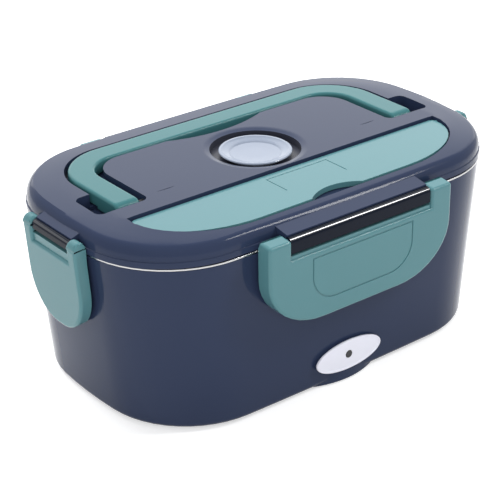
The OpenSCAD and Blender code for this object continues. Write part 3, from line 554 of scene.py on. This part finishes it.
def on_latch_outline(turn, bar):
    """Test for the points round a latch's face and on its ears, seen as on the front side."""
    back = Matrix.Rotation(math.radians(-turn), 3, "Z")
    lean = Matrix.Rotation(math.radians(-bar["lean"]), 3, "X")

    def inside(point):
        local = back @ Vector(point)
        local = lean @ (local - Vector((0.0, -bar["out"], bar["z"])))
        on_face = local.y < -bar["depth"] + FACE_SLACK
        panel = bar["panel"] and abs(local.x) < bar["panel"] and PANEL_LOW < local.z < PANEL_TOP
        on_ear = local.z > EAR_FOOT and abs(local.x) > bar["half"] + EAR_SIDE
        return (on_face and not panel) or (on_ear and math.hypot(local.y, local.z) > EAR_HOLE)

    return inside


class FinishLatches(bpy.types.Operator):
    """Finish the four latches"""

    bl_idname = "lunch_box.finish_latches"
    bl_label = "Latches"

    def execute(self, context):
        for node, (turn, bar) in LATCHES.items():
            piece = dress(node, accent_plastic(), edges().small * 2, outline=edges().latch)
            mark_outline(piece, on_latch_outline(turn, bar))
        return {"FINISHED"}


def larger(tree, first, second):
    """Socket with the larger of two values."""
    node = tree.nodes.new("ShaderNodeMath")
    node.operation = "MAXIMUM"
    tree.links.new(first, node.inputs[0])
    tree.links.new(second, node.inputs[1])
    return node.outputs[0]


def white_sight(tree):
    """Socket that is 1 for rays from the camera, off a mirror or through glass, and 0 for the rest."""
    path = tree.nodes.new("ShaderNodeLightPath").outputs
    mirrored = larger(tree, path["Is Glossy Ray"], path["Is Transmission Ray"])
    return larger(tree, path["Is Camera Ray"], mirrored)


def floor_material():
    """White floor: it shows the object's shadow, and reads white to the camera and in reflections."""
    material = bpy.data.materials.new("Studio Floor")
    material.use_nodes = True
    tree = material.node_tree
    tree.nodes.remove(tree.nodes["Principled BSDF"])
    paper = tree.nodes.new("ShaderNodeBsdfDiffuse")
    paper.inputs["Color"].default_value = (FLOOR_GREY, FLOOR_GREY, FLOOR_GREY, 1.0)
    glow = tree.nodes.new("ShaderNodeEmission")
    level = tree.nodes.new("ShaderNodeMath")
    level.operation = "MULTIPLY"
    level.inputs[1].default_value = FLOOR_GLOW
    both = tree.nodes.new("ShaderNodeAddShader")
    tree.links.new(white_sight(tree), level.inputs[0])
    tree.links.new(level.outputs[0], glow.inputs["Strength"])
    tree.links.new(paper.outputs[0], both.inputs[0])
    tree.links.new(glow.outputs[0], both.inputs[1])
    tree.links.new(both.outputs[0], tree.nodes["Material Output"].inputs["Surface"])
    return material


def studio_world():
    """White world: dimmer as a light than as it is seen by the camera and in reflections."""
    world = bpy.data.worlds.new("Studio World")
    world.use_nodes = True
    tree = world.node_tree
    background = tree.nodes["Background"]
    background.inputs["Color"].default_value = (1.0, 1.0, 1.0, 1.0)
    level = tree.nodes.new("ShaderNodeMapRange")
    level.inputs["To Min"].default_value = studio().world_strength
    level.inputs["To Max"].default_value = 1.0
    tree.links.new(white_sight(tree), level.inputs["Value"])
    tree.links.new(level.outputs["Result"], background.inputs["Strength"])
    bpy.context.scene.world = world


def soft_lamp(name, place, aim, size, watts, mirrored=True):
    data = bpy.data.lights.new(name, "AREA")
    data.shape = "RECTANGLE"
    data.size, data.size_y = size
    data.energy = watts
    lamp = bpy.data.objects.new(name, data)
    lamp.visible_glossy = mirrored
    lamp.location = place
    lamp.rotation_euler = (Vector(aim) - Vector(place)).to_track_quat("-Z", "Y").to_euler()
    bpy.context.scene.collection.objects.link(lamp)
    return lamp


class BuildStudio(bpy.types.Operator):
    """Add the floor, the lamps, the world and the camera"""

    bl_idname = "lunch_box.build_studio"
    bl_label = "Studio"

    target = (-0.00589, 0.0, 0.04973)
    shift = (-0.00328, -0.00694)
    floor_size = 6.0

    def execute(self, context):
        self.add_floor()
        self.add_lamps()
        self.add_camera(context)
        studio_world()
        context.scene.view_settings.view_transform = "Standard"
        return {"FINISHED"}

    def add_floor(self):
        half = self.floor_size / 2
        mesh = bpy.data.meshes.new("Floor")
        corners = [(-half, -half, 0), (half, -half, 0), (half, half, 0), (-half, half, 0)]
        mesh.from_pydata(corners, [], [(0, 1, 2, 3)])
        floor = bpy.data.objects.new("Floor", mesh)
        floor.data.materials.append(floor_material())
        bpy.context.scene.collection.objects.link(floor)

    def add_lamps(self):
        soft_lamp("Top Lamp", (0.1, 0.85, 1.25), CENTRE, (1.5, 1.5), studio().top_strength, mirrored=False)
        soft_lamp("Back Card", (0.85, 1.09, 0.80), CENTRE, (2.6, 1.3), studio().card_strength)
        soft_lamp("Key Lamp", (-0.9, -1.0, 0.75), CENTRE, (0.7, 0.9), studio().key_strength, mirrored=False)
        soft_lamp("Strip Lamp", (0.82, -0.68, 1.1), CENTRE, (0.16, 0.5), studio().strip_strength)

    def add_camera(self, context):
        a, e = studio().azimuth, studio().elevation
        back = Vector((math.sin(a) * math.cos(e), -math.cos(a) * math.cos(e), math.sin(e)))
        right = Vector((math.cos(a), math.sin(a), 0.0))
        turn = Matrix((right, back.cross(right), back)).transposed() @ Matrix.Rotation(-studio().roll, 3, "Z")
        data = bpy.data.cameras.new("Camera")
        data.sensor_width = 36.0
        data.lens = studio().lens
        data.shift_x, data.shift_y = self.shift
        data.clip_start = 0.01
        camera = bpy.data.objects.new("Camera", data)
        camera.matrix_world = Matrix.Translation(Vector(self.target) + back * studio().distance) @ turn.to_4x4()
        context.scene.collection.objects.link(camera)
        context.scene.camera = camera


OPERATORS = [
    FinishBody, FinishBadge, FinishHeater, FinishContainer, FinishLid,
    FinishHandle, FinishVent, FinishLatches, BuildStudio,
]


class LunchBoxPanel(bpy.types.Panel):
    """Settings and steps of the lunch box"""

    bl_idname = "VIEW3D_PT_lunch_box"
    bl_label = "Electric Lunch Box"
    bl_space_type = "VIEW_3D"
    bl_region_type = "UI"
    bl_category = "Lunch Box"

    def draw(self, context):
        for title, settings in (("Colours", colours()), ("Edges", edges()), ("Studio", studio())):
            box = self.layout.box()
            box.label(text=title)
            for name in settings.bl_rna.properties.keys():
                if name not in {"rna_type", "name"}:
                    box.prop(settings, name)
        for operator in OPERATORS:
            self.layout.operator(operator.bl_idname)


CLASSES = [LunchBoxColours, LunchBoxEdges, LunchBoxStudio, *OPERATORS, LunchBoxPanel]


def register():
    for item in CLASSES:
        bpy.utils.register_class(item)
    bpy.types.Scene.lunch_box_colours = PointerProperty(type=LunchBoxColours)
    bpy.types.Scene.lunch_box_edges = PointerProperty(type=LunchBoxEdges)
    bpy.types.Scene.lunch_box_studio = PointerProperty(type=LunchBoxStudio)


def unregister():
    del bpy.types.Scene.lunch_box_studio
    del bpy.types.Scene.lunch_box_edges
    del bpy.types.Scene.lunch_box_colours
    for item in reversed(CLASSES):
        bpy.utils.unregister_class(item)


def main():
    register()
    for operator in OPERATORS:
        family, name = operator.bl_idname.split(".")
        getattr(getattr(bpy.ops, family), name)()


if __name__ == "__main__":
    main()
